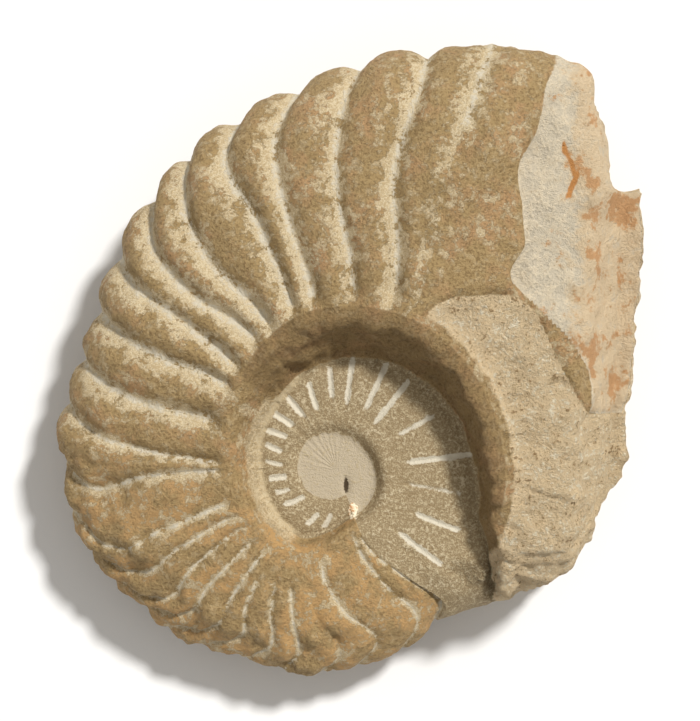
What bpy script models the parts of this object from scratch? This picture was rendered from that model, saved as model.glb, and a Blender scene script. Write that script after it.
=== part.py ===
"""A fossil ammonite, a coiled shell turned to stone, lying on one flank.

The coil is one piece of stone. Its last whorl is broken off at the right, where the rock that filled
the shell and a block of the bed around it are still attached.

The frame: the coil's axis is the Z axis, +Z is up, and the worn flat spot that the stone rests on is
at z = 0. Sizes are in millimetres and are turned into metres when the mesh is made. Turns are angles
in degrees about the coil's axis, from +X and clockwise as seen from above, the way the shell grew.
"""
import bpy
import numpy as np

MM = 0.001
COLLECTION = "fossil_ammonite"

# The stone is shaped from a ball, cut this finely, and then thinned to about this many triangles.
BALL_SEGMENTS = 432
BALL_RINGS = 132
TRIANGLES = 9600
# Share of the ball's segments that go to the ribs, and how densely its rings cover the underside,
# which starts this far along the section
SEGMENTS_ON_RIBS = 0.65
RINGS_UNDER = 0.6
UNDER_FROM = 2.2

# The middle plane of the coil leans, because the stone lies on the flank of a whorl that grows thicker
MIDDLE_AT_AXIS = 26.4
LEAN = 0.10
LEAN_TURN = 300.0

# Radius of the seam, where each whorl meets the one inside it, along the unrolled turn of the coil
SEAM = [
    (-300, 6.0), (57, 7.6), (100, 8.9), (145, 10.8), (180, 11.8), (215, 12.8), (250, 12.0),
    (290, 10.8), (320, 10.5), (350, 11.1), (385, 13.0), (440, 15.9), (460, 19.7), (480, 23.6),
    (530, 24.0), (560, 26.0), (590, 28.8), (625, 33.6), (660, 37.5), (700, 40.7), (735, 45.5),
    (750, 56.0), (757, 61.0), (764, 68.0), (777, 80.0),
]
# Height of the flank of each whorl over the middle plane, along the unrolled turn
FLANK = [
    (-300, 11.0), (80, 11.0), (180, 12.0), (250, 13.0), (300, 14.0), (360, 15.2), (400, 16.0),
    (440, 17.0), (480, 18.8), (540, 22.5), (600, 28.0), (640, 32.0), (660, 33.5), (700, 33.5),
    (735, 30.0), (750, 26.0), (764, 21.0), (777, 17.0),
]
# Width of the wall that climbs from the seam to the shoulder of a whorl, along the unrolled turn
WALL = [
    (-300, 3.0), (250, 3.5), (440, 3.5), (480, 6.0), (540, 9.0), (600, 13.0), (630, 14.0),
    (660, 11.0), (690, 8.0), (720, 5.0), (735, 4.0), (777, 3.0),
]
# Radius of the shoulder of the last whorl, where its ribs start
SHOULDER = [
    (57, 18.5), (80, 20.5), (100, 28.0), (120, 31.5), (170, 33.0), (200, 36.5), (220, 40.0),
    (240, 44.0), (262, 48.5), (300, 50.5), (340, 49.5), (388, 50.0), (405, 35.0), (417, 18.5),
]
# Roundness of the section from the shoulder to the rim: 2 is an ellipse, more is boxier
ROUNDNESS = [
    (57, 3.8), (110, 3.4), (180, 3.3), (240, 3.2), (295, 3.2), (320, 4.0), (370, 4.5), (417, 3.8),
]
# Radius of the crests of the ribs on the rim, then of the broken side past the last rib
RIM = [
    (57, 58.6), (65, 61.0), (78, 63.2), (88, 64.8), (99, 66.2), (110, 67.2), (122, 70.0),
    (132, 74.4), (141, 76.2), (150, 79.6), (158, 83.4), (167, 86.0), (179, 87.6), (187.5, 91.0),
    (197, 90.0), (208, 91.4), (220, 96.8), (232, 104.4), (241, 110.0), (249.5, 115.0),
    (260, 120.6), (270, 127.2), (279, 134.6), (287, 140.0), (294, 145.4), (301, 148.6),
    (302.5, 147.6), (304.5, 142.0), (308, 136.6), (311, 129.5), (314.2, 124.3), (315.6, 125.2),
    (317.6, 130.4), (319, 127.6), (324, 119.8), (329, 111.8), (335, 104.2), (343, 97.6),
    (347.5, 93.7), (355, 92.4), (361.5, 90.6), (366, 86.2), (374, 83.8), (379, 82.6),
    (383.5, 80.2), (390, 74.2), (395.5, 69.4), (402, 64.8), (406, 62.2), (411, 60.4), (417, 58.6),
]

# Each groove between two ribs: its turn at the shoulder, at mid flank, near the rim and on the rim,
# then its depth, its half width, and the share of the flank where it starts
GROOVES = [
    (70, 58, 52, 57, 0.5, 1.2, 0.0),
    (76, 67, 62, 70, 0.5, 1.1, 0.0),
    (99, 88, 77, 84, 0.5, 1.1, 0.0),
    (106, 98, 89, 94, 0.4, 1.1, 0.75),
    (114, 107, 102, 105, 0.5, 1.1, 0.2),
    (121, 115, 111, 116, 0.5, 1.1, 0.2),
    (127, 124, 120.5, 128, 0.5, 1.1, 0.2),
    (132, 129.5, 129, 137, 0.5, 1.1, 0.0),
    (140, 138, 137, 145, 0.5, 1.1, 0.0),
    (149, 146, 144, 154, 0.5, 1.1, 0.0),
    (156, 153.5, 153, 162, 0.5, 1.2, 0.0),
    (163, 161, 162, 172, 0.4, 1.6, 0.0),
    (180, 178, 176, 182, 0.7, 1.8, 0.0),
    (184, 186, 190, 194, 1.2, 2.0, 0.0),
    (202, 199, 201, 203.5, 1.8, 3.2, 0.0),
    (218, 212.5, 212, 213.5, 2.0, 3.4, 0.0),
    (226, 223.5, 222, 224, 2.2, 3.8, 0.0),
    (238, 230, 231, 236, 2.4, 4.0, 0.0),
    (245, 238.5, 240.5, 244.5, 2.3, 3.6, 0.0),
    (254.5, 252, 250, 254, 2.3, 3.4, 0.0),
    (262, 258.5, 260, 264, 2.2, 3.2, 0.0),
    (275, 269.7, 271, 273, 1.7, 2.6, 0.0),
    (288, 280.7, 282, 282, 2.0, 3.0, 0.0),
    (296, 291, 290, 290, 0.8, 3.0, 0.6),
]
# The turns of the guide lines that lead on round the broken side, where there are no grooves
PLAIN_LINES = [302, 316, 330, 345, 360, 375, 390, 404]
# Shares of the way from the shoulder to the rim at which a groove's four turns are given
GROOVE_AT = (0.0, 0.5, 0.87, 1.0)

# Knobs on the ribs near the rim and on the shoulder: height, share of the flank, and width as a share
KNOBS = [(0.9, 0.80, 0.10), (0.8, 0.13, 0.09)]
# Shares of the flank over which the ribs and the grooves rise out of the shoulder, how rounded the
# ribs are, and how much shallower the grooves are on the rim
RIB_RISE = 0.12
GROOVE_RISE = 0.1
RIB_ROUNDING = 0.8
GROOVE_LOSS_AT_RIM = 0.35
# Height of the ribs over the flank and at the rim, along the turn
RIB_ON_FLANK = [
    (57, 0.15), (130, 0.3), (175, 0.7), (200, 1.4), (240, 1.8), (280, 1.8), (295, 1.0), (310, 0.0),
    (417, 0.0),
]
RIB_AT_RIM = [
    (57, 0.6), (90, 1.0), (130, 1.4), (175, 1.8), (200, 1.8), (240, 2.2), (284, 2.4), (300, 1.2),
    (312, 0.0), (404, 0.0), (417, 0.6),
]

# How far the outer edge of an inner whorl rolls down to the seam of the next one
SEAM_ROLL = 0.9
SEAM_ROLL_WIDTH = 3.0
# Each groove left on the ground flanks of the inner whorls: its turns at its inner and outer ends,
# its radius at each end, and its depth
INNER_GROOVES = [
    (97, 103, 13.0, 19.0, 0.5), (112, 119, 14.0, 20.0, 0.5), (140, 147, 12.0, 20.0, 0.5),
    (157, 160, 15.0, 21.0, 0.4), (173, 173, 15.0, 22.0, 0.6), (185, 187, 16.0, 23.0, 0.4),
    (198, 200, 17.0, 24.0, 0.5), (214, 210, 18.0, 25.5, 0.6), (226, 222, 18.5, 27.0, 0.7),
    (239, 236, 18.5, 28.0, 0.6), (252, 252, 18.5, 29.0, 0.5), (266, 266, 21.0, 33.0, 0.5),
    (278, 278, 18.5, 36.0, 0.5), (295, 295, 18.5, 37.0, 0.5), (308.5, 308.5, 16.0, 36.0, 0.5),
    (330, 330, 20.5, 35.0, 0.4), (353, 353, 19.0, 43.0, 0.5), (370.5, 370.5, 19.0, 40.0, 0.3),
    (389, 386, 26.0, 43.0, 0.5), (405, 402, 25.0, 44.0, 0.5),
]
INNER_GROOVE_WIDTH = 0.7

# The turns at which the break starts and at which the shell comes out of the bed rock again, the turns
# over which each fades, and how far past the shoulder the break is complete
BREAK_START, BREAK_END = 294.0, 404.0
BREAK_FADE_IN, BREAK_FADE_OUT = 7.0, 8.0
BREAK_WIDTH = 10.0
# The edge of the skin of the last rib, along Y, and how far the broken rock lies under it
SKIN_EDGE = [
    (28, 78), (40, 72), (50, 62), (61.5, 53), (71.3, 57.4), (81.7, 56.2), (94.6, 55.0), (103, 59.6),
    (111, 62), (118, 63), (135, 68),
]
SKIN_STEP = 2.2
# The skin's edge is a cliff only from this Y on, and fades in over this length
SKIN_FROM = 45.0
SKIN_FADE = 12.0
# The upper edge of the block of bed rock, along X, and how far it lies under the skin there
BED_EDGE = [(0, 34), (15, 40), (20, 46), (27, 51.5), (36, 56), (52, 57), (60, 53), (70, 34), (80, 20)]
BED_STEP = 1.0
# Width of these two cliffs, and the share of the flank past which they die away toward the rim
CLIFF_WIDTH = 1.6
CLIFFS_UNTIL = 0.8
# Ledges across the bed rock that face -Y: the X of both ends, the Y of both ends and the drop
LEDGES = [(36.0, 60.0, 13.8, 10.5, 2.6), (22.0, 44.0, 31.0, 33.0, 1.6), (58.0, 76.0, -4.0, -9.0, 1.5)]
LEDGE_REACH = 14.0
LEDGE_WIDTH = 1.4
LEDGE_TAPER = 5.0

# The flat breaks on the top of the broken side: a point on each, then its rise along +X and along +Y
BREAKS = [
    (60.0, 92.0, 60.0, -0.16, 0.02),
    (76.0, 112.0, 55.5, -0.5, -0.1),
    (84.0, 72.0, 55.0, -0.30, 0.06),
    (74.0, 30.0, 58.0, -1.7, 0.15),
    (79.0, -11.0, 52.0, -1.6, 0.5),
    (60.0, -34.0, 45.0, -0.6, 1.3),
]

# Lumps of the stone's surface: how far they are across, the seed of their noise, and their height
BED_LUMPS = (14.0, 11, 1.5)
BED_STEPS = (11.0, 23, 2.2)
FACE_LUMPS = (16.0, 37, 0.9)
PITS = (8.0, 51, 0.45)
# The bed rock's steps are stretched by these factors, and there are this many in the height of a lump
STEPS_STRETCH = (0.7, 1.4, 1.0)
STEPS_IN_A_LUMP = 2.5
# Deeper pits on the weathered part of the rim: height, first turn and last turn
WEATHERED = (1.3, 84.0, 196.0)
# Height of the lumps under the stone
UNDER_LUMPS = 0.9

# Height of the rock that fills the middle of the underside, which the flat spot then cuts through
FILL_UNDER = -1.2
FILL_RADIUS = 14.0
FILL_REACH = 36.0
CUTTER_DEPTH = 20.0
CUTTER_WIDTH = 400.0


def through(points, x):
    """A smooth curve through (x, value) points that never overshoots them, level past the ends."""
    px, py = np.array(points, float).T
    step = np.diff(px)
    slope = np.diff(py) / step
    total = slope[:-1] + slope[1:]
    same_way = slope[:-1] * slope[1:] > 0.0
    inner = np.where(same_way, 2.0 * slope[:-1] * slope[1:] / np.where(same_way, total, 1.0), 0.0)
    tangent = np.concatenate([[0.0], inner, [0.0]])
    x = np.clip(x, px[0], px[-1])
    i = np.clip(np.searchsorted(px, x, side="right") - 1, 0, len(step) - 1)
    u = (x - px[i]) / step[i]
    return hermite(py[i], py[i + 1], tangent[i] * step[i], tangent[i + 1] * step[i], u)


def hermite(start, end, leaving, arriving, u):
    """A cubic from start to end with the given slopes."""
    v = 1.0 - u
    return v * v * (start * (1 + 2 * u) + leaving * u) + u * u * (end * (3 - 2 * u) - arriving * v)


def ease(x):
    """0 below 0, 1 above 1, smooth between."""
    x = np.clip(x, 0.0, 1.0)
    return x * x * (3.0 - 2.0 * x)


def guide_lines():
    """Four turns for each guide line: the grooves, the plain lines, and the first groove again."""
    lines = [groove[:4] for groove in GROOVES]
    lines += [(turn, turn, turn, turn) for turn in PLAIN_LINES]
    lines.append([turn + 360.0 for turn in GROOVES[0][:4]])
    return np.array(lines, float)


def place_of(around):
    """Where a way round the ball, from 0 to 1, lies, counted in guide lines."""
    last_groove = len(GROOVES) - 1
    turns = guide_lines()[last_groove:, 3]
    past_ribs = (turns - turns[0]) / (turns[-1] - turns[0])
    knots = np.concatenate([[0.0], SEGMENTS_ON_RIBS + (1.0 - SEGMENTS_ON_RIBS) * past_ribs])
    lines = np.concatenate([[0], last_groove + np.arange(len(turns))])
    return np.interp(around, knots, lines)


def turn_at(place, share):
    """The turn of a place at a share of the way from the shoulder of the last whorl to its rim."""
    lines = guide_lines()
    i = np.clip(place.astype(int), 0, len(lines) - 2)
    u = (place - i)[..., None]
    four = lines[i] * (1 - u) + lines[i + 1] * u
    at = np.array(GROOVE_AT)
    slope = np.diff(four, axis=-1) / np.diff(at)
    between = (slope[..., :-1] + slope[..., 1:]) / 2
    tangent = np.concatenate([0 * slope[..., :1], between, slope[..., -1:]], axis=-1)
    share = np.clip(share, 0.0, 1.0)
    turn = np.zeros(np.broadcast(place, share).shape)
    for k in range(len(at) - 1):
        step = at[k + 1] - at[k]
        leaving, arriving = tangent[..., k] * step, tangent[..., k + 1] * step
        stretch = hermite(four[..., k], four[..., k + 1], leaving, arriving, (share - at[k]) / step)
        turn = np.where(share >= at[k], stretch, turn)
    return turn


def flat_place(turn, radius):
    """X and Y of a point given by its turn and its radius."""
    angle = np.radians(turn)
    return radius * np.cos(angle), -radius * np.sin(angle)


def middle(x, y):
    """Height of the middle plane of the coil."""
    along_x, along_y = flat_place(LEAN_TURN, LEAN)
    return MIDDLE_AT_AXIS + along_x * x + along_y * y


def coil_height(turn, radius):
    """Height of the whorls over the middle plane, from the axis out to the rim."""
    height = np.full(radius.shape, float(FLANK[0][1]))
    for unrolled in (turn, turn + 360.0):
        climb = ease((radius - through(SEAM, unrolled)) / through(WALL, unrolled))
        height += (through(FLANK, unrolled) - height) * climb
    left = (through(SEAM, turn + 360.0) - radius) / SEAM_ROLL_WIDTH
    inner = ease((radius - through(SEAM, turn)) / through(WALL, turn))
    return height - SEAM_ROLL * inner * (1.0 - ease(left)) * (left > 0.0)


def section(turn, share):
    """How far the flank is still up, from 1 at the shoulder to 0 on the rim."""
    return np.sqrt(np.clip(1.0 - np.clip(share, 0.0, 1.0) ** through(ROUNDNESS, turn), 0.0, 1.0))


def broken_part(turn, radius):
    """1 where the last whorl is broken off or buried in bed rock, 0 on the ribs and inner whorls."""
    past_shoulder = ease((radius - through(SHOULDER, turn)) / BREAK_WIDTH)
    started = ease((turn - BREAK_START) / BREAK_FADE_IN)
    not_ended = ease((BREAK_END - turn) / BREAK_FADE_OUT)
    return past_shoulder * started * not_ended


def upper_side(turn, radius, share):
    """Height of the side that faces up, before its ribs and roughness."""
    x, y = flat_place(turn, radius)
    height = middle(x, y) + coil_height(turn, radius) * section(turn, share)
    broken = broken_part(turn, radius)
    for at_x, at_y, at_z, rise_x, rise_y in BREAKS:
        plane = np.maximum(at_z + rise_x * (x - at_x) + rise_y * (y - at_y), middle(x, y))
        height += (np.minimum(height, plane) - height) * broken
    past_skin = SKIN_STEP * ease((x - through(SKIN_EDGE, y)) / CLIFF_WIDTH)
    past_skin *= ease((y - SKIN_FROM) / SKIN_FADE)
    in_bed = BED_STEP * ease((through(BED_EDGE, x) - y) / CLIFF_WIDTH)
    inside_rim = 1.0 - ease((share - CLIFFS_UNTIL) / (1.0 - CLIFFS_UNTIL))
    return height + (ledges(x, y) - np.maximum(past_skin, in_bed)) * broken * inside_rim


def ledges(x, y):
    """Swells in the bed rock that end in a drop on their -Y side."""
    swell = np.zeros(x.shape)
    for start_x, end_x, start_y, end_y, drop in LEDGES:
        along = np.clip((x - start_x) / (end_x - start_x), 0.0, 1.0)
        above = y - (start_y + (end_y - start_y) * along)
        inside = ease((x - start_x) / LEDGE_TAPER) * ease((end_x - x) / LEDGE_TAPER)
        swell += drop * inside * ease(above / LEDGE_WIDTH + 0.5) * (1.0 - ease(above / LEDGE_REACH))
    return swell


def under_side(turn, radius, share):
    """Height of the side that faces down: the same whorl, with rock in its hollow middle."""
    x, y = flat_place(turn, radius)
    flank = middle(x, y) - through(FLANK, turn + 360.0) * section(turn, share)
    fill_width = np.maximum(through(SHOULDER, turn), FILL_REACH) - FILL_RADIUS
    flank_share = ease((radius - FILL_RADIUS) / fill_width)
    return FILL_UNDER + (flank - FILL_UNDER) * flank_share


def profile(place, way):
    """Turn, radius and share at a way along the section: 0 the axis, 1 the shoulder, 2 the rim."""
    share = np.clip(way - 1.0, 0.0, 1.0)
    turn = turn_at(place, share)
    shoulder = through(SHOULDER, turn)
    radius = shoulder * np.clip(way, 0.0, 1.0) + (through(RIM, turn) - shoulder) * share
    return turn, radius, share


def smooth_point(place, way):
    """A point of the surface before its relief. Past 2 the way comes back under the stone to 4."""
    under = way > 2.0
    turn, radius, share = profile(place, np.where(under, 4.0 - way, way))
    x, y = flat_place(turn, radius)
    z = np.where(under, under_side(turn, radius, share), upper_side(turn, radius, share))
    return np.stack([x, y, z], -1), turn, radius, share, under


def way_of(around, down):
    """The way along the section that spreads the ball's rings evenly along it, from down 0 to 1."""
    inner = np.linspace(0.0, 1.0, 120, endpoint=False)
    outer = 1.0 + np.sin(np.linspace(0.0, np.pi / 2, 200))
    out = np.concatenate([inner, outer])
    ways = np.concatenate([out, 4.0 - out[-2::-1]])
    columns = BALL_SEGMENTS
    rings = BALL_RINGS
    place = place_of(np.arange(columns + 1) / columns)
    points = smooth_point(place[None, :], ways[:, None])[0]
    step = np.linalg.norm(np.diff(points, axis=0), axis=-1)
    step[ways[1:] > UNDER_FROM] *= RINGS_UNDER
    length = np.concatenate([np.zeros((1, columns + 1)), np.cumsum(step, axis=0)]) / step.sum(axis=0)
    even = np.linspace(0.0, 1.0, rings + 1)
    table = np.stack([np.interp(even, length[:, c], ways) for c in range(columns + 1)])
    c = np.clip((around * columns).astype(int), 0, columns - 1)
    r = np.clip((down * rings).astype(int), 0, rings - 1)
    u = around * columns - c
    v = down * rings - r
    near = table[c, r] * (1 - v) + table[c, r + 1] * v
    far = table[c + 1, r] * (1 - v) + table[c + 1, r + 1] * v
    return near * (1 - u) + far * u


def lattice_noise(points, size, seed):
    """Smooth noise from -1 to 1 whose lumps are about this size across."""
    cells = 32
    table = np.random.default_rng(seed).uniform(-1.0, 1.0, (cells, cells, cells))
    low = np.floor(points / size).astype(int)
    u = ease(points / size - low)
    total = np.zeros(len(points))
    for corner in np.ndindex(2, 2, 2):
        weight = np.prod(np.where(corner, u, 1.0 - u), axis=-1)
        total += weight * table[tuple(((low + corner) % cells).T)]
    return total


def layered_noise(points, size, seed, layers=3):
    """Noise with finer and finer lumps on top of one another."""
    return sum(lattice_noise(points, size / 2**k, seed + k) / 2**k for k in range(layers))


def rib_relief(place, turn, radius, share):
    """How far the surface lies under the crests of the ribs: their rounded sides and the grooves."""
    line = np.clip(place.astype(int), 0, len(GROOVES) - 2)
    round_side = np.sin(np.pi * np.clip(place - line, 0.0, 1.0))
    on_flank = through(RIB_ON_FLANK, turn)
    height = on_flank + (through(RIB_AT_RIM, turn) - on_flank) * ease(share)
    relief = -height * (1.0 - round_side**RIB_ROUNDING) * ease(share / RIB_RISE)
    for knob_height, knob_share, knob_width in KNOBS:
        knob = knob_height * np.exp(-(((share - knob_share) / knob_width) ** 2))
        relief += knob * round_side**2 * ease(on_flank / 1.5)
    for side in (0, 1):
        depth, half_width, start = np.array(GROOVES)[line + side, 4:].T
        away = np.radians(turn - turn_at((line + side).astype(float), share)) * radius
        across = np.exp(-((away / half_width) ** 2))
        cut = ease((share - start) / GROOVE_RISE) * (1.0 - GROOVE_LOSS_AT_RIM * ease(share))
        relief -= depth * across * cut
    return relief * (1.0 - ease((place - (len(GROOVES) - 2)) / 1.5))


def inner_relief(turn, radius):
    """The shallow grooves left on the ground flanks of the inner whorls."""
    relief = np.zeros(radius.shape)
    for inner_turn, outer_turn, start, end, depth in INNER_GROOVES:
        out = (radius - start) / (end - start)
        groove_turn = inner_turn + (outer_turn - inner_turn) * np.clip(out, 0.0, 1.0)
        away = (np.radians(turn - groove_turn) + np.pi) % (2 * np.pi) - np.pi
        across = np.exp(-((away * radius / INNER_GROOVE_WIDTH) ** 2))
        relief -= depth * across * ease(out / 0.25) * ease((1.0 - out) / 0.05 + 1.0)
    return relief


def rock_relief(points, turn, radius, share, under):
    """Lumps and ledges on the bed rock and the broken face, and the pitting of the worn flank."""
    x, y = points[:, 0], points[:, 1]
    broken = broken_part(turn, radius)
    in_bed = broken * np.maximum(ease((through(BED_EDGE, x) - y) / 4.0), under)
    on_face = broken * (1.0 - in_bed) * ease((x - through(SKIN_EDGE, y)) / 2.0)
    lump_size, lump_seed, lump_height = BED_LUMPS
    lumps = layered_noise(points, lump_size, lump_seed, 4)
    step_size, step_seed, step_height = BED_STEPS
    level = STEPS_IN_A_LUMP * layered_noise(points * STEPS_STRETCH, step_size, step_seed)
    part_level = level % 1.0
    steps = (0.25 * level - 0.75 * ease(part_level / 0.7) + 0.75 * part_level) / STEPS_IN_A_LUMP
    relief = in_bed * (lump_height * lumps + step_height * steps)
    face_size, face_seed, face_height = FACE_LUMPS
    relief += on_face * face_height * layered_noise(points, face_size, face_seed)
    pit_size, pit_seed, pit_height = PITS
    weathered_height, first_turn, last_turn = WEATHERED
    pitted = weathered_height * ease((share - 0.45) / 0.3)
    pitted *= ease((turn - first_turn) / 8.0) * ease((last_turn - turn) / 12.0)
    pitted += pit_height * ease(share / 0.15) * (1.0 - broken)
    relief += pitted * layered_noise(points, pit_size, pit_seed)
    return relief + UNDER_LUMPS * lumps * under * ease(1.0 - share)


def ball():
    """A half circle turned about the Z axis into a ball, with enough faces to carry the relief."""
    down = np.linspace(0.0, np.pi, BALL_RINGS + 1)
    points = np.stack([np.sin(down), 0.0 * down, np.cos(down)], -1)
    outline = bpy.data.meshes.new("ammonite")
    outline.from_pydata(points.tolist(), [(i, i + 1) for i in range(BALL_RINGS)], [])
    stone = bpy.data.objects.new("ammonite", outline)
    bpy.context.scene.collection.objects.link(stone)
    bpy.context.view_layer.objects.active = stone
    turned = stone.modifiers.new("turned", "SCREW")
    turned.steps = BALL_SEGMENTS
    turned.render_steps = BALL_SEGMENTS
    turned.use_merge_vertices = True
    turned.merge_threshold = 0.00001
    bpy.ops.object.modifier_apply(modifier="turned")
    return stone


def places_on_ball(mesh):
    """How far round the ball, the way the shell grew, and how far down it each vertex lies."""
    points = np.empty(3 * len(mesh.vertices))
    mesh.vertices.foreach_get("co", points)
    x, y, z = points.reshape(-1, 3).T
    around = (-np.arctan2(y, x) / (2.0 * np.pi)) % 1.0
    return around, np.arctan2(np.hypot(x, y), z) / np.pi


def shape(stone):
    """Moves the ball's vertices onto the stone's surface, and then along its normals by the relief."""
    mesh = stone.data
    around, down = places_on_ball(mesh)
    place = place_of(around)
    points, turn, radius, share, under = smooth_point(place, way_of(around, down))
    mesh.vertices.foreach_set("co", (points * MM).ravel())
    mesh.update()
    normals = np.empty(points.size)
    mesh.vertex_normals.foreach_get("vector", normals)
    relief = rib_relief(place, turn, radius, share) + rock_relief(points, turn, radius, share, under)
    relief += inner_relief(turn, radius) * ~under
    points += normals.reshape(-1, 3) * relief[:, None]
    mesh.vertices.foreach_set("co", (points * MM).ravel())
    mesh.update()


def thin(stone):
    """Leaves fewer triangles where the surface is plain."""
    count = sum(len(face.vertices) - 2 for face in stone.data.polygons)
    modifier = stone.modifiers.new("thin", "DECIMATE")
    modifier.ratio = TRIANGLES / count
    modifier.use_collapse_triangulate = True


def wear_flat(stone, cutters):
    """Cuts the flat spot that the stone rests on."""
    bpy.ops.mesh.primitive_cube_add(size=1.0, location=(0.0, 0.0, -CUTTER_DEPTH * MM / 2))
    cutter = bpy.context.object
    cutter.name = "rest_cut"
    cutter.scale = (CUTTER_WIDTH * MM, CUTTER_WIDTH * MM, CUTTER_DEPTH * MM)
    cutter.hide_render = True
    cutter.display_type = "WIRE"
    move_to(cutter, cutters)
    modifier = stone.modifiers.new("rest_flat", "BOOLEAN")
    modifier.operation = "DIFFERENCE"
    modifier.solver = "EXACT"
    modifier.object = cutter


def move_to(obj, collection):
    for old in list(obj.users_collection):
        old.objects.unlink(obj)
    collection.objects.link(obj)


def stone_material():
    material = bpy.data.materials.new("fossil_stone")
    material.use_nodes = True
    shader = material.node_tree.nodes["Principled BSDF"]
    shader.inputs["Base Color"].default_value = (0.42, 0.31, 0.17, 1.0)
    shader.inputs["Roughness"].default_value = 0.85
    shader.inputs["Metallic"].default_value = 0.0
    return material


def new_collection(name):
    collection = bpy.data.collections.new(name)
    bpy.context.scene.collection.children.link(collection)
    return collection


def ammonite():
    """The whole fossil, one solid stone."""
    stone = ball()
    shape(stone)
    stone.data.shade_smooth()
    stone.data.materials.append(stone_material())
    move_to(stone, new_collection(COLLECTION))
    thin(stone)
    wear_flat(stone, new_collection(COLLECTION + "_cutters"))
    return stone


for leftover in list(bpy.data.objects):
    bpy.data.objects.remove(leftover)
ammonite()
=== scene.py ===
"""The look of a fossil ammonite that lies on one flank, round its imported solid."""

import bpy
import numpy as np
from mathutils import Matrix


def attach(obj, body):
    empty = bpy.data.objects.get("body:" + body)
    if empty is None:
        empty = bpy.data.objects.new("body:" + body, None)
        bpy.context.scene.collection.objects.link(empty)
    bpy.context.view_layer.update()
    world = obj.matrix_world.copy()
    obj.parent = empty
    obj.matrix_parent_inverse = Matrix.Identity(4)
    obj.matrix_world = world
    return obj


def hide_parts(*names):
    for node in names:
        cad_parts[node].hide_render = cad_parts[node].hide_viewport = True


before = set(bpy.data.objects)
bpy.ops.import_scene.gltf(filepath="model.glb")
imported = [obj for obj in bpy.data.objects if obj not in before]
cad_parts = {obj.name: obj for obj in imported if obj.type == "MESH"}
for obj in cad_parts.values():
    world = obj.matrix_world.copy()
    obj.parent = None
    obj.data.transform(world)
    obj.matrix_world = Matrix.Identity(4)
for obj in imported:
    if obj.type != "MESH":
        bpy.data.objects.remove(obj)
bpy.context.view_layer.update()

# The fossil
#
# A coiled shell turned to stone, with the rock that filled it and a block of the bed round it. It is one
# piece of limestone, dug out of its bed with hand tools, scraped in its grooves and ground flat in the
# middle. Sizes are in millimetres, and turns are degrees about Z from +X, clockwise seen from above.
MM = 0.001

# Faces round the stone and from its top to its foot, the share of them that go to the ribs, and how
# densely they cover the underside, which starts this far along the section
BALL_SEGMENTS = 640
BALL_RINGS = 150
SEGMENTS_ON_RIBS = 0.65
RINGS_UNDER = 0.6
UNDER_FROM = 2.2

# The middle plane of the coil leans, because the stone lies on the flank of a whorl that grows thicker
MIDDLE_AT_AXIS = 26.4
LEAN = 0.10
LEAN_TURN = 300.0

# Radius of the seam, where each whorl meets the one inside it, along the unrolled turn of the coil
SEAM = [
    (-300, 6.0), (57, 7.6), (100, 8.9), (145, 10.8), (180, 11.8), (215, 12.8), (250, 12.0),
    (290, 10.8), (320, 10.5), (350, 11.1), (385, 13.0), (440, 15.9), (460, 19.7), (480, 23.6),
    (530, 24.0), (560, 26.0), (590, 28.8), (625, 33.6), (660, 37.5), (700, 40.7), (735, 45.5),
    (750, 56.0), (757, 61.0), (764, 68.0), (777, 80.0),
]
# Height of the flank of each whorl over the middle plane, along the unrolled turn
FLANK = [
    (-300, 11.0), (80, 11.0), (180, 12.0), (250, 13.0), (300, 14.0), (360, 15.2), (400, 16.0),
    (440, 17.0), (480, 18.8), (540, 22.5), (600, 28.0), (640, 32.0), (660, 33.5), (700, 33.5),
    (735, 30.0), (750, 26.0), (764, 21.0), (777, 17.0),
]
# Width of the wall that climbs from the seam to the shoulder of a whorl, along the unrolled turn
WALL = [
    (-300, 3.0), (250, 3.5), (440, 3.5), (480, 6.0), (540, 9.0), (600, 13.0), (630, 14.0),
    (660, 11.0), (690, 8.0), (720, 5.0), (735, 4.0), (777, 3.0),
]
# Radius of the shoulder of the last whorl, where its ribs start
SHOULDER = [
    (57, 18.5), (80, 20.5), (100, 28.0), (120, 31.5), (170, 33.0), (200, 36.5), (220, 40.0),
    (240, 44.0), (262, 48.5), (300, 50.5), (340, 49.5), (388, 50.0), (405, 35.0), (417, 18.5),
]
# Roundness of the section from the shoulder to the rim: 2 is an ellipse, more is boxier
ROUNDNESS = [
    (57, 3.8), (110, 3.4), (180, 3.3), (240, 3.2), (295, 3.2), (320, 4.0), (370, 4.5), (417, 3.8),
]
# Radius of the crests of the ribs on the rim, then of the broken side past the last rib
RIM = [
    (57, 58.6), (65, 61.0), (78, 63.2), (88, 64.8), (99, 66.2), (110, 67.2), (122, 70.0),
    (132, 74.4), (141, 76.2), (150, 79.6), (158, 83.4), (167, 86.0), (179, 87.6), (187.5, 91.0),
    (197, 90.0), (208, 91.4), (220, 96.8), (232, 104.4), (241, 110.0), (249.5, 115.0),
    (260, 120.6), (270, 127.2), (279, 134.6), (287, 140.0), (294, 145.4), (301, 148.6),
    (302.5, 147.6), (304.5, 142.0), (308, 136.6), (311, 129.5), (314.2, 124.3), (315.6, 125.2),
    (317.6, 130.4), (319, 127.6), (324, 119.8), (329, 111.8), (335, 104.2), (343, 97.6),
    (347.5, 93.7), (355, 92.4), (361.5, 90.6), (366, 86.2), (374, 83.8), (379, 82.6),
    (383.5, 80.2), (390, 74.2), (395.5, 69.4), (402, 64.8), (406, 62.2), (411, 60.4), (417, 58.6),
]

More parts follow.
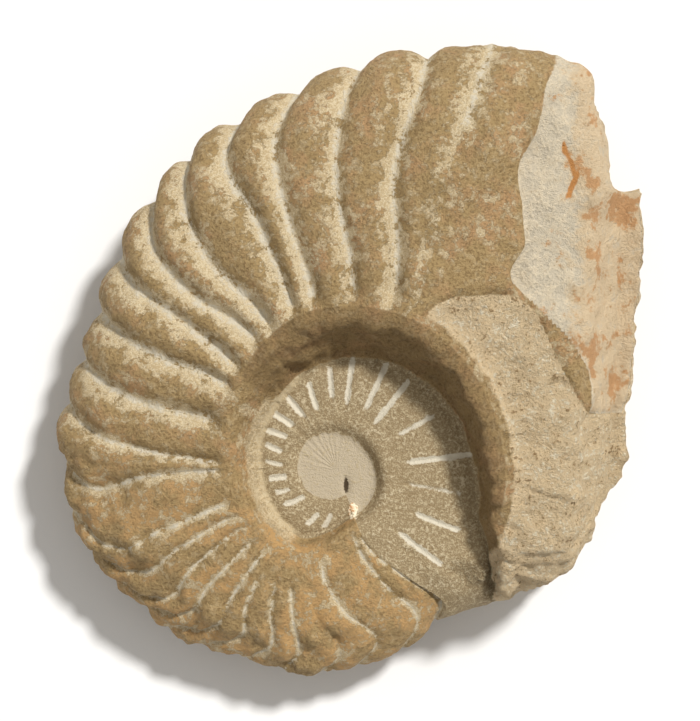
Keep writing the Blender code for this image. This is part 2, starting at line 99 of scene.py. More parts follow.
# Each groove between two ribs: its turn at the shoulder, at mid flank, near the rim and on the rim,
# then its depth, its half width, and the share of the flank where it starts
GROOVES = [
    (70, 58, 52, 57, 0.5, 1.2, 0.0),
    (76, 67, 62, 70, 0.5, 1.1, 0.0),
    (99, 88, 77, 84, 0.5, 1.1, 0.0),
    (106, 98, 89, 94, 0.4, 1.1, 0.75),
    (114, 107, 102, 105, 0.5, 1.1, 0.2),
    (121, 115, 111, 116, 0.5, 1.1, 0.2),
    (127, 124, 120.5, 128, 0.5, 1.1, 0.2),
    (132, 129.5, 129, 137, 0.5, 1.1, 0.0),
    (140, 138, 137, 145, 0.5, 1.1, 0.0),
    (149, 146, 144, 154, 0.5, 1.1, 0.0),
    (156, 153.5, 153, 162, 0.5, 1.2, 0.0),
    (163, 161, 162, 172, 0.4, 1.6, 0.0),
    (180, 178, 176, 182, 0.7, 1.8, 0.0),
    (184, 186, 190, 194, 1.2, 2.0, 0.0),
    (202, 199, 201, 203.5, 1.8, 3.2, 0.0),
    (218, 212.5, 212, 213.5, 2.0, 3.4, 0.0),
    (226, 223.5, 222, 224, 2.2, 3.8, 0.0),
    (238, 230, 231, 236, 2.4, 4.0, 0.0),
    (245, 238.5, 240.5, 244.5, 2.3, 3.6, 0.0),
    (254.5, 252, 250, 254, 2.3, 3.4, 0.0),
    (262, 258.5, 260, 264, 2.2, 3.2, 0.0),
    (275, 269.7, 271, 273, 1.7, 2.6, 0.0),
    (288, 280.7, 282, 282, 2.0, 3.0, 0.0),
    (296, 291, 290, 290, 0.8, 3.0, 0.6),
]
# The turns of the guide lines that lead on round the broken side, where there are no grooves
PLAIN_LINES = [302, 316, 330, 345, 360, 375, 390, 404]
# Shares of the way from the shoulder to the rim at which a groove's four turns are given
GROOVE_AT = (0.0, 0.5, 0.87, 1.0)

# Knobs on the ribs near the rim and on the shoulder: height, share of the flank, and width as a share
KNOBS = [(0.9, 0.80, 0.10), (0.8, 0.13, 0.09)]
# Shares of the flank over which the ribs and the grooves rise out of the shoulder, how rounded the
# ribs are, and how much shallower the grooves are on the rim
RIB_RISE = 0.12
GROOVE_RISE = 0.1
RIB_ROUNDING = 0.8
GROOVE_LOSS_AT_RIM = 0.35
# Height of the ribs over the flank and at the rim, along the turn
RIB_ON_FLANK = [
    (57, 0.15), (130, 0.3), (175, 0.7), (200, 1.4), (240, 1.8), (280, 1.8), (295, 1.0), (310, 0.0),
    (417, 0.0),
]
RIB_AT_RIM = [
    (57, 0.6), (90, 1.0), (130, 1.4), (175, 1.8), (200, 1.8), (240, 2.2), (284, 2.4), (300, 1.2),
    (312, 0.0), (404, 0.0), (417, 0.6),
]

# How far the outer edge of an inner whorl rolls down to the seam of the next one
SEAM_ROLL = 0.9
SEAM_ROLL_WIDTH = 3.0
# Each groove left on the ground flanks of the inner whorls: its turns at its inner and outer ends,
# its radius at each end, and its depth
INNER_GROOVES = [
    (97, 103, 13.0, 19.0, 0.5), (112, 119, 14.0, 20.0, 0.5), (140, 147, 12.0, 20.0, 0.5),
    (157, 160, 15.0, 21.0, 0.4), (173, 173, 15.0, 22.0, 0.6), (185, 187, 16.0, 23.0, 0.4),
    (198, 200, 17.0, 24.0, 0.5), (214, 210, 18.0, 25.5, 0.6), (226, 222, 18.5, 27.0, 0.7),
    (239, 236, 18.5, 28.0, 0.6), (252, 252, 18.5, 29.0, 0.5), (266, 266, 21.0, 33.0, 0.5),
    (278, 278, 18.5, 36.0, 0.5), (295, 295, 18.5, 37.0, 0.5), (308.5, 308.5, 16.0, 36.0, 0.5),
    (330, 330, 20.5, 35.0, 0.4), (353, 353, 19.0, 43.0, 0.5), (370.5, 370.5, 19.0, 40.0, 0.3),
    (389, 386, 26.0, 43.0, 0.5), (405, 402, 25.0, 44.0, 0.5),
]
INNER_GROOVE_WIDTH = 0.7

# The turns at which the break starts and at which the shell comes out of the bed rock again, the turns
# over which each fades, and how far past the shoulder the break is complete
BREAK_START, BREAK_END = 294.0, 404.0
BREAK_FADE_IN, BREAK_FADE_OUT = 7.0, 8.0
BREAK_WIDTH = 10.0
# The edge of the skin of the last rib, along Y, and how far the broken rock lies under it
SKIN_EDGE = [
    (28, 78), (40, 72), (50, 62), (61.5, 53), (71.3, 57.4), (81.7, 56.2), (94.6, 55.0), (103, 59.6),
    (111, 62), (118, 63), (135, 68),
]
SKIN_STEP = 2.2
# The skin's edge is a cliff only from this Y on, and fades in over this length
SKIN_FROM = 45.0
SKIN_FADE = 12.0
# The upper edge of the block of bed rock, along X, and how far it lies under the skin there
BED_EDGE = [(0, 34), (15, 40), (20, 46), (27, 51.5), (36, 56), (52, 57), (60, 53), (70, 34), (80, 20)]
BED_STEP = 1.0
# Width of these two cliffs, and the share of the flank past which they die away toward the rim
CLIFF_WIDTH = 1.6
CLIFFS_UNTIL = 0.8
# Ledges across the bed rock that face -Y: the X of both ends, the Y of both ends and the drop
LEDGES = [(36.0, 60.0, 13.8, 10.5, 2.6), (22.0, 44.0, 31.0, 33.0, 1.6), (58.0, 76.0, -4.0, -9.0, 1.5)]
LEDGE_REACH = 14.0
LEDGE_WIDTH = 1.4
LEDGE_TAPER = 5.0

# The flat breaks on the top of the broken side: a point on each, then its rise along +X and along +Y
BREAKS = [
    (60.0, 92.0, 60.0, -0.16, 0.02),
    (76.0, 112.0, 55.5, -0.5, -0.1),
    (84.0, 72.0, 55.0, -0.30, 0.06),
    (74.0, 30.0, 58.0, -1.7, 0.15),
    (79.0, -11.0, 52.0, -1.6, 0.5),
    (60.0, -34.0, 45.0, -0.6, 1.3),
]

# Lumps of the stone's surface: how far they are across, the seed of their noise, and their height
BED_LUMPS = (14.0, 11, 1.5)
BED_STEPS = (11.0, 23, 2.2)
FACE_LUMPS = (16.0, 37, 0.9)
PITS = (8.0, 51, 0.45)
# The bed rock's steps are stretched by these factors, and there are this many in the height of a lump
STEPS_STRETCH = (0.7, 1.4, 1.0)
STEPS_IN_A_LUMP = 2.5
# Deeper pits on the weathered part of the rim: height, first turn and last turn
WEATHERED = (1.3, 84.0, 196.0)
# Height of the lumps under the stone
UNDER_LUMPS = 0.9

# Height of the rock that fills the middle of the underside, which the flat spot then cuts through
FILL_UNDER = -1.2
FILL_RADIUS = 14.0
FILL_REACH = 36.0


def through(points, x):
    """A smooth curve through (x, value) points that never overshoots them, level past the ends."""
    px, py = np.array(points, float).T
    step = np.diff(px)
    slope = np.diff(py) / step
    total = slope[:-1] + slope[1:]
    same_way = slope[:-1] * slope[1:] > 0.0
    inner = np.where(same_way, 2.0 * slope[:-1] * slope[1:] / np.where(same_way, total, 1.0), 0.0)
    tangent = np.concatenate([[0.0], inner, [0.0]])
    x = np.clip(x, px[0], px[-1])
    i = np.clip(np.searchsorted(px, x, side="right") - 1, 0, len(step) - 1)
    u = (x - px[i]) / step[i]
    return hermite(py[i], py[i + 1], tangent[i] * step[i], tangent[i + 1] * step[i], u)


def hermite(start, end, leaving, arriving, u):
    """A cubic from start to end with the given slopes."""
    v = 1.0 - u
    return v * v * (start * (1 + 2 * u) + leaving * u) + u * u * (end * (3 - 2 * u) - arriving * v)


def ease(x):
    """0 below 0, 1 above 1, smooth between."""
    x = np.clip(x, 0.0, 1.0)
    return x * x * (3.0 - 2.0 * x)


def guide_lines():
    """Four turns for each guide line: the grooves, the plain lines, and the first groove again."""
    lines = [groove[:4] for groove in GROOVES]
    lines += [(turn, turn, turn, turn) for turn in PLAIN_LINES]
    lines.append([turn + 360.0 for turn in GROOVES[0][:4]])
    return np.array(lines, float)


def place_of(around):
    """Where a way round the ball, from 0 to 1, lies, counted in guide lines."""
    last_groove = len(GROOVES) - 1
    turns = guide_lines()[last_groove:, 3]
    past_ribs = (turns - turns[0]) / (turns[-1] - turns[0])
    knots = np.concatenate([[0.0], SEGMENTS_ON_RIBS + (1.0 - SEGMENTS_ON_RIBS) * past_ribs])
    lines = np.concatenate([[0], last_groove + np.arange(len(turns))])
    return np.interp(around, knots, lines)


def turn_at(place, share):
    """The turn of a place at a share of the way from the shoulder of the last whorl to its rim."""
    lines = guide_lines()
    i = np.clip(place.astype(int), 0, len(lines) - 2)
    u = (place - i)[..., None]
    four = lines[i] * (1 - u) + lines[i + 1] * u
    at = np.array(GROOVE_AT)
    slope = np.diff(four, axis=-1) / np.diff(at)
    between = (slope[..., :-1] + slope[..., 1:]) / 2
    tangent = np.concatenate([0 * slope[..., :1], between, slope[..., -1:]], axis=-1)
    share = np.clip(share, 0.0, 1.0)
    turn = np.zeros(np.broadcast(place, share).shape)
    for k in range(len(at) - 1):
        step = at[k + 1] - at[k]
        leaving, arriving = tangent[..., k] * step, tangent[..., k + 1] * step
        stretch = hermite(four[..., k], four[..., k + 1], leaving, arriving, (share - at[k]) / step)
        turn = np.where(share >= at[k], stretch, turn)
    return turn


def flat_place(turn, radius):
    """X and Y of a point given by its turn and its radius."""
    angle = np.radians(turn)
    return radius * np.cos(angle), -radius * np.sin(angle)


def middle(x, y):
    """Height of the middle plane of the coil."""
    along_x, along_y = flat_place(LEAN_TURN, LEAN)
    return MIDDLE_AT_AXIS + along_x * x + along_y * y


def coil_height(turn, radius):
    """Height of the whorls over the middle plane, from the axis out to the rim."""
    height = np.full(radius.shape, float(FLANK[0][1]))
    for unrolled in (turn, turn + 360.0):
        climb = ease((radius - through(SEAM, unrolled)) / through(WALL, unrolled))
        height += (through(FLANK, unrolled) - height) * climb
    left = (through(SEAM, turn + 360.0) - radius) / SEAM_ROLL_WIDTH
    inner = ease((radius - through(SEAM, turn)) / through(WALL, turn))
    return height - SEAM_ROLL * inner * (1.0 - ease(left)) * (left > 0.0)


def section(turn, share):
    """How far the flank is still up, from 1 at the shoulder to 0 on the rim."""
    return np.sqrt(np.clip(1.0 - np.clip(share, 0.0, 1.0) ** through(ROUNDNESS, turn), 0.0, 1.0))


def broken_part(turn, radius):
    """1 where the last whorl is broken off or buried in bed rock, 0 on the ribs and inner whorls."""
    past_shoulder = ease((radius - through(SHOULDER, turn)) / BREAK_WIDTH)
    started = ease((turn - BREAK_START) / BREAK_FADE_IN)
    not_ended = ease((BREAK_END - turn) / BREAK_FADE_OUT)
    return past_shoulder * started * not_ended


def upper_side(turn, radius, share):
    """Height of the side that faces up, before its ribs and roughness."""
    x, y = flat_place(turn, radius)
    height = middle(x, y) + coil_height(turn, radius) * section(turn, share)
    broken = broken_part(turn, radius)
    for at_x, at_y, at_z, rise_x, rise_y in BREAKS:
        plane = np.maximum(at_z + rise_x * (x - at_x) + rise_y * (y - at_y), middle(x, y))
        height += (np.minimum(height, plane) - height) * broken
    past_skin = SKIN_STEP * ease((x - through(SKIN_EDGE, y)) / CLIFF_WIDTH)
    past_skin *= ease((y - SKIN_FROM) / SKIN_FADE)
    in_bed = BED_STEP * ease((through(BED_EDGE, x) - y) / CLIFF_WIDTH)
    inside_rim = 1.0 - ease((share - CLIFFS_UNTIL) / (1.0 - CLIFFS_UNTIL))
    return height + (ledges(x, y) - np.maximum(past_skin, in_bed)) * broken * inside_rim


def ledges(x, y):
    """Swells in the bed rock that end in a drop on their -Y side."""
    swell = np.zeros(x.shape)
    for start_x, end_x, start_y, end_y, drop in LEDGES:
        along = np.clip((x - start_x) / (end_x - start_x), 0.0, 1.0)
        above = y - (start_y + (end_y - start_y) * along)
        inside = ease((x - start_x) / LEDGE_TAPER) * ease((end_x - x) / LEDGE_TAPER)
        swell += drop * inside * ease(above / LEDGE_WIDTH + 0.5) * (1.0 - ease(above / LEDGE_REACH))
    return swell


def under_side(turn, radius, share):
    """Height of the side that faces down: the same whorl, with rock in its hollow middle."""
    x, y = flat_place(turn, radius)
    flank = middle(x, y) - through(FLANK, turn + 360.0) * section(turn, share)
    fill_width = np.maximum(through(SHOULDER, turn), FILL_REACH) - FILL_RADIUS
    flank_share = ease((radius - FILL_RADIUS) / fill_width)
    return FILL_UNDER + (flank - FILL_UNDER) * flank_share


def profile(place, way):
    """Turn, radius and share at a way along the section: 0 the axis, 1 the shoulder, 2 the rim."""
    share = np.clip(way - 1.0, 0.0, 1.0)
    turn = turn_at(place, share)
    shoulder = through(SHOULDER, turn)
    radius = shoulder * np.clip(way, 0.0, 1.0) + (through(RIM, turn) - shoulder) * share
    return turn, radius, share


def smooth_point(place, way):
    """A point of the surface before its relief. Past 2 the way comes back under the stone to 4."""
    under = way > 2.0
    turn, radius, share = profile(place, np.where(under, 4.0 - way, way))
    x, y = flat_place(turn, radius)
    z = np.where(under, under_side(turn, radius, share), upper_side(turn, radius, share))
    return np.stack([x, y, z], -1), turn, radius, share, under


def way_of(around, down):
    """The way along the section that spreads the ball's rings evenly along it, from down 0 to 1."""
    inner = np.linspace(0.0, 1.0, 120, endpoint=False)
    outer = 1.0 + np.sin(np.linspace(0.0, np.pi / 2, 200))
    out = np.concatenate([inner, outer])
    ways = np.concatenate([out, 4.0 - out[-2::-1]])
    columns = BALL_SEGMENTS
    rings = BALL_RINGS
    place = place_of(np.arange(columns + 1) / columns)
    points = smooth_point(place[None, :], ways[:, None])[0]
    step = np.linalg.norm(np.diff(points, axis=0), axis=-1)
    step[ways[1:] > UNDER_FROM] *= RINGS_UNDER
    length = np.concatenate([np.zeros((1, columns + 1)), np.cumsum(step, axis=0)]) / step.sum(axis=0)
    even = np.linspace(0.0, 1.0, rings + 1)
    table = np.stack([np.interp(even, length[:, c], ways) for c in range(columns + 1)])
    c = np.clip((around * columns).astype(int), 0, columns - 1)
    r = np.clip((down * rings).astype(int), 0, rings - 1)
    u = around * columns - c
    v = down * rings - r
    near = table[c, r] * (1 - v) + table[c, r + 1] * v
    far = table[c + 1, r] * (1 - v) + table[c + 1, r + 1] * v
    return near * (1 - u) + far * u


def lattice_noise(points, size, seed):
    """Smooth noise from -1 to 1 whose lumps are about this size across."""
    cells = 32
    table = np.random.default_rng(seed).uniform(-1.0, 1.0, (cells, cells, cells))
    low = np.floor(points / size).astype(int)
    u = ease(points / size - low)
    total = np.zeros(len(points))
    for corner in np.ndindex(2, 2, 2):
        weight = np.prod(np.where(corner, u, 1.0 - u), axis=-1)
        total += weight * table[tuple(((low + corner) % cells).T)]
    return total


def layered_noise(points, size, seed, layers=3):
    """Noise with finer and finer lumps on top of one another."""
    return sum(lattice_noise(points, size / 2**k, seed + k) / 2**k for k in range(layers))


def rib_relief(place, turn, radius, share):
    """How far the surface lies under the crests of the ribs: their rounded sides and the grooves."""
    line = np.clip(place.astype(int), 0, len(GROOVES) - 2)
    round_side = np.sin(np.pi * np.clip(place - line, 0.0, 1.0))
    on_flank = through(RIB_ON_FLANK, turn)
    height = on_flank + (through(RIB_AT_RIM, turn) - on_flank) * ease(share)
    relief = -height * (1.0 - round_side**RIB_ROUNDING) * ease(share / RIB_RISE)
    for knob_height, knob_share, knob_width in KNOBS:
        knob = knob_height * np.exp(-(((share - knob_share) / knob_width) ** 2))
        relief += knob * round_side**2 * ease(on_flank / 1.5)
    for side in (0, 1):
        depth, half_width, start = np.array(GROOVES)[line + side, 4:].T
        away = np.radians(turn - turn_at((line + side).astype(float), share)) * radius
        across = np.exp(-((away / half_width) ** 2))
        cut = ease((share - start) / GROOVE_RISE) * (1.0 - GROOVE_LOSS_AT_RIM * ease(share))
        relief -= depth * across * cut
    return relief * (1.0 - ease((place - (len(GROOVES) - 2)) / 1.5))


def inner_relief(turn, radius, width=INNER_GROOVE_WIDTH):
    """The shallow grooves left on the ground flanks of the inner whorls."""
    relief = np.zeros(radius.shape)
    for inner_turn, outer_turn, start, end, depth in INNER_GROOVES:
        out = (radius - start) / (end - start)
        groove_turn = inner_turn + (outer_turn - inner_turn) * np.clip(out, 0.0, 1.0)
        away = (np.radians(turn - groove_turn) + np.pi) % (2 * np.pi) - np.pi
        across = np.exp(-((away * radius / width) ** 2))
        relief -= depth * across * ease(out / 0.25) * ease((1.0 - out) / 0.05 + 1.0)
    return relief


def rock_relief(points, turn, radius, share, under):
    """Lumps and ledges on the bed rock and the broken face, and the pitting of the worn flank."""
    x, y = points[:, 0], points[:, 1]
    broken = broken_part(turn, radius)
    in_bed = broken * np.maximum(ease((through(BED_EDGE, x) - y) / 4.0), under)
    on_face = broken * (1.0 - in_bed) * ease((x - through(SKIN_EDGE, y)) / 2.0)
    lump_size, lump_seed, lump_height = BED_LUMPS
    lumps = layered_noise(points, lump_size, lump_seed, 4)
    step_size, step_seed, step_height = BED_STEPS
    level = STEPS_IN_A_LUMP * layered_noise(points * STEPS_STRETCH, step_size, step_seed)
    part_level = level % 1.0
    steps = (0.25 * level - 0.75 * ease(part_level / 0.7) + 0.75 * part_level) / STEPS_IN_A_LUMP
    relief = in_bed * (lump_height * lumps + step_height * steps)
    face_size, face_seed, face_height = FACE_LUMPS
    relief += on_face * face_height * layered_noise(points, face_size, face_seed)
    pit_size, pit_seed, pit_height = PITS
    weathered_height, first_turn, last_turn = WEATHERED
    pitted = weathered_height * ease((share - 0.45) / 0.3)
    pitted *= ease((turn - first_turn) / 8.0) * ease((last_turn - turn) / 12.0)
    pitted += pit_height * ease(share / 0.15) * (1.0 - broken)
    relief += pitted * layered_noise(points, pit_size, pit_seed)
    return relief + UNDER_LUMPS * lumps * under * ease(1.0 - share)


def ball():
    """A half circle turned about the Z axis into a ball."""
    down = np.linspace(0.0, np.pi, BALL_RINGS + 1)
    points = np.stack([np.sin(down), 0.0 * down, np.cos(down)], -1)
    outline = bpy.data.meshes.new("fossil")
    outline.from_pydata(points.tolist(), [(i, i + 1) for i in range(BALL_RINGS)], [])
    stone = bpy.data.objects.new("fossil", outline)
    bpy.context.scene.collection.objects.link(stone)
    stone.select_set(True)
    bpy.context.view_layer.objects.active = stone
    turned = stone.modifiers.new("turned", "SCREW")
    turned.steps = BALL_SEGMENTS
    turned.render_steps = BALL_SEGMENTS
    turned.use_merge_vertices = True
    turned.merge_threshold = 0.00001
    bpy.ops.object.modifier_apply(modifier="turned")
    return stone


def places_on_ball(mesh):
    """How far round the ball, the way the shell grew, and how far down it each vertex lies."""
    points = np.empty(3 * len(mesh.vertices))
    mesh.vertices.foreach_get("co", points)
    x, y, z = points.reshape(-1, 3).T
    around = (-np.arctan2(y, x) / (2.0 * np.pi)) % 1.0
    return around, np.arctan2(np.hypot(x, y), z) / np.pi


# The finer grain that only the look has: size, seed and height, on the shell, in the bed, on the break
SHELL_GRAIN = (3.2, 91, 0.34)
LAST_RIB_GRAIN = (7.5, 99, 1.2)
BED_GRAIN = (4.5, 93, 1.3)
FACE_GRAIN = (6.0, 95, 1.0)
WALL_GRAIN = (6.0, 97, 0.9)
# The rusty crack down the break, along Y, its half width, and the width of the haze of scraped grooves
CRACK = [(84.9, 71.7), (92.8, 74.5), (95.9, 72.4), (100.6, 70.5)]
CRACK_WIDTH = 1.1
INNER_HAZE_WIDTH = 1.2
# A chip of white calcite in the disc's moat, and a pit at the coil's centre: X, Y, both half widths, height
CHIP = (5.1, -13.1, 1.8, 3.0, 0.7)
PIT = (2.9, -4.7, 1.0, 3.2, -0.9)
# A band of painted light along the seam, cream where the wall faces the lamp: how far past it, its half
# width, its first and last turn
LIT_BAND = (1.5, 3.5, 110.0, 262.0)


def grain(points, which):
    size, seed, height = which
    return height * layered_noise(points, size, seed, 3)


def spot(x, y, which):
    """1 at the middle of a small oval spot, falling off to 0 round it."""
    at_x, at_y, half_x, half_y, height = which
    return np.exp(-(((x - at_x) / half_x) ** 2) - ((y - at_y) / half_y) ** 2)


def groove_mask(place, turn, radius, share):
    """1 in the floor of a groove between two ribs, 0 away from it."""
    line = np.clip(place.astype(int), 0, len(GROOVES) - 2)
    mask = np.zeros(radius.shape)
    for side in (0, 1):
        half_width, start = np.array(GROOVES)[line + side, 5:].T
        away = np.radians(turn - turn_at((line + side).astype(float), share)) * radius
        near = np.exp(-((away / half_width) ** 2)) * ease((share - start) / GROOVE_RISE)
        mask = np.maximum(mask, near)
    return mask * (1.0 - ease((place - (len(GROOVES) - 1)) / 0.4))


def shape(stone):
    """Puts the vertices on the stone's surface, and keeps what its material needs to know of each."""
    mesh = stone.data
    around, down = places_on_ball(mesh)
    place = place_of(around)
    points, turn, radius, share, under = smooth_point(place, way_of(around, down))
    mesh.vertices.foreach_set("co", (points * MM).ravel())
    mesh.update()
    normals = np.empty(points.size)
    mesh.vertex_normals.foreach_get("vector", normals)
    x, y = points[:, 0], points[:, 1]
    broken = broken_part(turn, radius)
    bed = broken * np.maximum(ease((through(BED_EDGE, x) - y) / 4.0), under)
    face = broken * (1.0 - bed) * ease((x - through(SKIN_EDGE, y)) / 2.0)
    seam = through(SEAM, turn + 360.0)
    inner = (1.0 - ease((radius - seam) / 1.5)) * ~under
    disc = (1.0 - ease((radius - through(SEAM, turn)) / 1.0)) * ~under
    wall_end = np.maximum(through(SHOULDER, turn), seam + 1.0)
    shaded_wall = ease((radius - seam) / 2.0) * (1.0 - ease((radius - wall_end) / 4.0)) * ~under
    # Stronger on the turns where the wall faces away from the lamp: there its darker colour is painted shade.
    shaded_wall *= ease((turn - 215.0) / 30.0) + 0.3
    scraped = np.clip(-inner_relief(turn, radius, INNER_HAZE_WIDTH) / 0.45, 0.0, 1.0) * inner
    last_rib = ease((turn - 283.0) / 8.0) * (1.0 - broken) * (1.0 - inner) * ~under
    last_rib *= ease((place - (len(GROOVES) - 3)) / 1.5)
    crack = np.exp(-(((x - through(CRACK, y)) / CRACK_WIDTH) ** 2)) * ~under
    crack *= ease((y - 83.0) / 3.0) * ease((104.0 - y) / 3.0)
    relief = rib_relief(place, turn, radius, share) + rock_relief(points, turn, radius, share, under)
    relief += inner_relief(turn, radius) * ~under
    relief += (1.0 - bed) * (1.0 - face) * (1.0 - inner) * grain(points, SHELL_GRAIN)
    relief += bed * grain(points, BED_GRAIN) + face * grain(points, FACE_GRAIN)
    relief += shaded_wall * (1.0 - bed) * grain(points, WALL_GRAIN)
    relief += last_rib * grain(points, LAST_RIB_GRAIN) - 0.6 * crack
    chip = spot(x, y, CHIP) * ~under
    pit = spot(x, y, PIT) * ~under
    relief += CHIP[-1] * chip + PIT[-1] * pit
    # Painted light: the band covers the turns where the wall faces the lamp.
    past_seam, band_width, band_start, band_end = LIT_BAND
    lit_band = np.exp(-(((radius - seam - past_seam) / band_width) ** 2)) * ~under
    lit_band *= ease((turn - band_start) / 20.0) * ease((band_end - turn) / 20.0)
    points += normals.reshape(-1, 3) * relief[:, None]
    points[:, 2] = np.maximum(points[:, 2], 0.0)
    mesh.vertices.foreach_set("co", (points * MM).ravel())
    mesh.update()
    groove = groove_mask(place, turn, radius, share) * (1.0 - inner) * (1.0 - 0.55 * under)
    kept = {"groove": groove, "scraped": scraped, "last_rib": last_rib, "crack": crack,
            "across": np.clip(place, 0.0, len(GROOVES) - 1) % 1.0, "bed": bed, "face": face,
            "inner": inner, "disc": disc, "shaded_wall": shaded_wall, "lit_band": lit_band, "chip": chip, "pit": pit,
            "outer_break": face * ease((x - 64.0) / 16.0),
            "old": ease((210.0 - turn) / 60.0) * (1.0 - broken)}
    for name, values in kept.items():
        mesh.attributes.new(name, "FLOAT", "POINT").data.foreach_set("value", values.astype(np.float32))


class Shade:
    """One output of the stone's material, so that its masks add and multiply as numbers do."""

    tree = None

    def __init__(self, socket):
        self.socket = socket

    @classmethod
    def node(cls, kind, settings, values, output=0):
        node = cls.tree.nodes.new("ShaderNode" + kind)
        for name, value in settings.items():
            setattr(node, name, value)
        for name, value in values.items():
            if isinstance(value, cls):
                cls.tree.links.new(value.socket, node.inputs[name])
            else:
                node.inputs[name].default_value = value
        return cls(node.outputs[output])

    def __add__(self, other):
        return self.node("Math", {"operation": "ADD"}, {0: self, 1: other})

    def __sub__(self, other):
        return self.node("Math", {"operation": "SUBTRACT"}, {0: self, 1: other})

    def __rsub__(self, other):
        return self.node("Math", {"operation": "SUBTRACT"}, {0: other, 1: self})

    def __mul__(self, other):
        return self.node("Math", {"operation": "MULTIPLY"}, {0: self, 1: other})

    __radd__ = __add__
    __rmul__ = __mul__


def step(value, low, high):
    """0 below low, 1 above high."""
    ranges = {"Value": value, "From Min": low, "From Max": high}
    return Shade.node("MapRange", {"interpolation_type": "SMOOTHSTEP"}, ranges)


def mix(first, second, share):
    return Shade.node("Mix", {"data_type": "RGBA"}, {0: share, 6: first, 7: second}, 2)


def kept(name):
    return Shade.node("Attribute", {"attribute_name": name}, {}, "Fac")


def lumps(place, size, detail=4.0, rough=0.6):
    """Noise from about -0.5 to 0.5 whose lumps are this many millimetres across."""
    values = {"Vector": place, "Scale": 1.0 / size, "Detail": detail, "Roughness": rough}
    return Shade.node("TexNoise", {}, values) - 0.5


def colour(red, green, blue):
    """A colour given as it looks on a screen, from 0 to 255."""
    parts = [c / 255.0 for c in (red, green, blue)]
    return tuple(((c + 0.055) / 1.055) ** 2.4 for c in parts) + (1.0,)


BROWN_SKIN = colour(164, 138, 94)
RED_SKIN = colour(178, 142, 100)
# The dark skin colour also serves as the painted shade of the wall, mixed half and half with the brown.
DARK_SKIN_AND_SHADE = colour(120, 96, 60)
CREAM = colour(212, 195, 160)
TAN = colour(186, 163, 124)
CHALK = colour(212, 203, 182)
OLIVE = colour(146, 126, 93)
OLIVE_LIGHT = colour(178, 160, 126)
OLIVE_PALE = colour(202, 186, 154)
DISC_GREY = colour(184, 169, 143)
GOLD = colour(230, 204, 162)
GOLD_DARK = colour(158, 128, 88)
GOLD_LIGHT = colour(246, 232, 202)
BREAK_GREY = colour(202, 189, 165)
BREAK_LIGHT = colour(222, 206, 177)
BREAK_WARM = colour(212, 186, 148)
IRON = colour(194, 136, 78)
OCHRE = colour(188, 150, 98)
PIT_SHADE = colour(70, 56, 38)


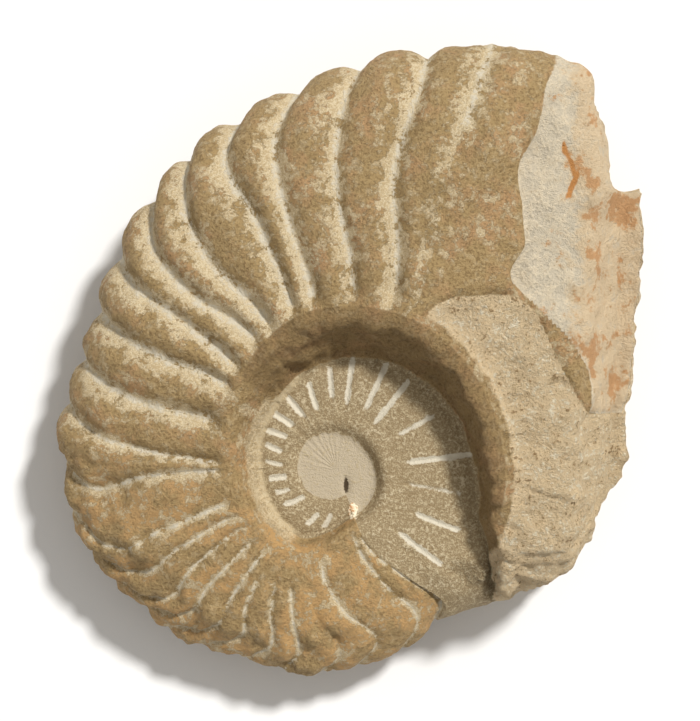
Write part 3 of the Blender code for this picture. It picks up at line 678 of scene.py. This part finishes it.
def stone_material():
    material = bpy.data.materials.new("fossil_stone")
    material.use_nodes = True
    Shade.tree = material.node_tree
    shader = Shade.tree.nodes["Principled BSDF"]
    metres = Shade.node("TexCoord", {}, {}, "Object")
    place = Shade.node("VectorMath", {"operation": "SCALE"}, {0: metres, "Scale": 1.0 / MM})
    broad = lumps(place, 11.0)
    patch = lumps(place, 3.4, 7.0, 0.72)
    fine = lumps(place, 1.0, 4.0, 0.7)
    grit = lumps(place, 0.45, 2.0)
    groove = kept("groove")
    across = kept("across")
    old = kept("old")
    # Cream on each rib's slope toward the next groove: partly wear, partly a painted highlight where that
    # slope faces the lamp, weaker on the older turns.
    slope = step(across, 0.48, 0.72) * (1.0 - step(across, 0.92, 1.0)) * (1.0 - 0.6 * old)
    bare = 0.62 * groove + 0.24 * slope + 1.5 * broad + 3.2 * patch + 1.6 * fine + 0.10 * kept("last_rib")
    skin = 1.0 - step(bare, 0.22, 0.40)
    brown = mix(mix(BROWN_SKIN, RED_SKIN, step(broad, -0.05, 0.15)), DARK_SKIN_AND_SHADE, step(fine, -0.04, 0.16) * 0.8)
    brown = mix(brown, TAN, step(patch - 0.6 * fine, 0.0, 0.18) * 0.7)
    brown = mix(brown, OCHRE, old * step(broad + 0.5 * patch, -0.1, 0.12))
    cream = mix(CREAM, TAN, step(fine + 0.8 * grit + 0.5 * patch, -0.1, 0.12))
    shell = mix(cream, brown, skin)
    shell = mix(shell, CHALK, step(groove + 1.3 * patch + 1.1 * fine, 0.82, 1.10) * 0.85)
    # Painted light: cream along the seam where the wall faces the lamp.
    shell = mix(shell, cream, step(kept("lit_band") + patch, 0.45, 0.8) * 0.8)
    ground = mix(OLIVE, OLIVE_LIGHT, step(fine + grit, -0.06, 0.16))
    ground = mix(ground, OLIVE_PALE, step(patch + fine, 0.05, 0.2) * 0.7)
    ground = mix(ground, DARK_SKIN_AND_SHADE, step(patch - fine, 0.10, 0.24) * 0.45)
    ground = mix(ground, CHALK, step(kept("scraped") + 1.2 * patch + 0.8 * fine, 0.42, 0.85) * 0.9)
    # Painted light: cream along the seam where the wall faces the lamp.
    ground = mix(ground, cream, step(kept("lit_band") + patch, 0.45, 0.85) * 0.7)
    disc = mix(DISC_GREY, OLIVE_LIGHT, step(fine, 0.0, 0.2))
    bed = mix(mix(GOLD, GOLD_DARK, step(patch + fine, 0.04, 0.22)), GOLD_LIGHT, step(fine - patch, 0.04, 0.2))
    face = mix(BREAK_GREY, BREAK_LIGHT, step(patch + 0.5 * fine, -0.08, 0.1))
    face = mix(face, BREAK_WARM, step(kept("outer_break") + 2.0 * broad + 2.0 * patch, 0.3, 0.9) * 0.8)
    face = mix(face, GOLD_DARK, step(patch - fine, 0.12, 0.26) * 0.5)
    face = mix(face, IRON, step(broad + 0.6 * patch + 0.1 * kept("outer_break"), 0.13, 0.22) * 0.7)
    face = mix(face, IRON, step(kept("crack") + patch, 0.35, 0.7))
    ragged = 0.7 * patch
    # The wall is painted darker: partly its rough dark rock, partly painted shade that is strongest where it
    # faces away from the lamp.
    look = mix(shell, mix(brown, DARK_SKIN_AND_SHADE, 0.5), step(kept("shaded_wall") + ragged, 0.4, 0.75))
    look = mix(look, face, step(kept("face") + ragged, 0.4, 0.6))
    look = mix(look, bed, step(kept("bed") + ragged, 0.4, 0.6))
    look = mix(look, ground, step(kept("inner"), 0.35, 0.65))
    look = mix(look, disc, step(kept("disc"), 0.35, 0.65))
    # The pit is painted near black: painted shade in its hollow.
    look = mix(look, PIT_SHADE, step(kept("pit") + 0.8 * fine, 0.4, 0.7))
    look = mix(look, mix(GOLD_LIGHT, IRON, step(patch, 0.0, 0.1)), step(kept("chip") + fine, 0.4, 0.5))
    Shade.tree.links.new(look.socket, shader.inputs["Base Color"])
    rock = kept("bed") + kept("face")
    worn = 1.0 - kept("inner")
    height = 0.30 * skin * worn + 0.45 * fine + 0.3 * grit + worn * (0.9 * patch + 0.5 * fine)
    height = height + 1.8 * kept("bed") * (patch + fine) + 1.0 * kept("face") * patch
    bump = Shade.node("Bump", {}, {"Height": height, "Distance": MM, "Strength": 1.0})
    Shade.tree.links.new(bump.socket, shader.inputs["Normal"])
    Shade.tree.links.new((0.78 + 0.12 * rock).socket, shader.inputs["Roughness"])
    shader.inputs["Specular IOR Level"].default_value = 0.3
    return material


bpy.ops.object.select_all(action="DESELECT")
fossil = ball()
shape(fossil)
fossil.data.shade_smooth()
fossil.data.materials.append(stone_material())
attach(fossil, "root")
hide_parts("ammonite")

# The floor
#
# A plain pale sheet that the fossil lies on, wide enough to fill the picture from every side.
FLOOR_WIDTH = 6.0
FLOOR_COLOUR = (0.80, 0.79, 0.77, 1.0)

bpy.ops.object.select_all(action="DESELECT")
bpy.ops.mesh.primitive_plane_add(size=FLOOR_WIDTH)
floor = bpy.context.object
floor.name = "floor"
floor_material = bpy.data.materials.new("floor")
floor_material.use_nodes = True
floor_material.node_tree.nodes["Principled BSDF"].inputs["Base Color"].default_value = FLOOR_COLOUR
floor_material.node_tree.nodes["Principled BSDF"].inputs["Roughness"].default_value = 0.9
floor.data.materials.append(floor_material)

# The light
#
# One soft lamp high at the upper right of the picture, and an even fill from all round.
SUN_ELEVATION = 52.0
SUN_AZIMUTH = 48.0
SUN_SOFTNESS = 7.0
SUN_STRENGTH = 3.6
FILL_STRENGTH = 0.5

bpy.ops.object.light_add(type="SUN")
sun = bpy.context.object
sun.rotation_euler = (0.0, np.radians(90.0 - SUN_ELEVATION), np.radians(SUN_AZIMUTH))
sun.data.energy = SUN_STRENGTH
sun.data.angle = np.radians(SUN_SOFTNESS)
world = bpy.data.worlds.new("studio")
world.use_nodes = True
world.node_tree.nodes["Background"].inputs["Color"].default_value = (1.0, 0.98, 0.95, 1.0)
world.node_tree.nodes["Background"].inputs["Strength"].default_value = FILL_STRENGTH
bpy.context.scene.world = world
bpy.context.scene.view_settings.view_transform = "Standard"

# The camera
#
# It looks straight down, and a pixel of the 700 by 721 frame is 0.31 mm wide at the top of the stone.
PICTURE_WIDTH = 700
PIXEL = 0.31 * MM
CAMERA_HEIGHT = 0.900
STONE_TOP = 0.055
SENSOR = 36.0

bpy.ops.object.camera_add(location=(0.00412, 0.03471, CAMERA_HEIGHT), rotation=(0.0, 0.0, 0.0))
camera = bpy.context.object
camera.data.sensor_fit = "HORIZONTAL"
camera.data.sensor_width = SENSOR
camera.data.lens = SENSOR * (CAMERA_HEIGHT - STONE_TOP) / (PICTURE_WIDTH * PIXEL)
camera.data.clip_start = 0.01
bpy.context.scene.camera = camera
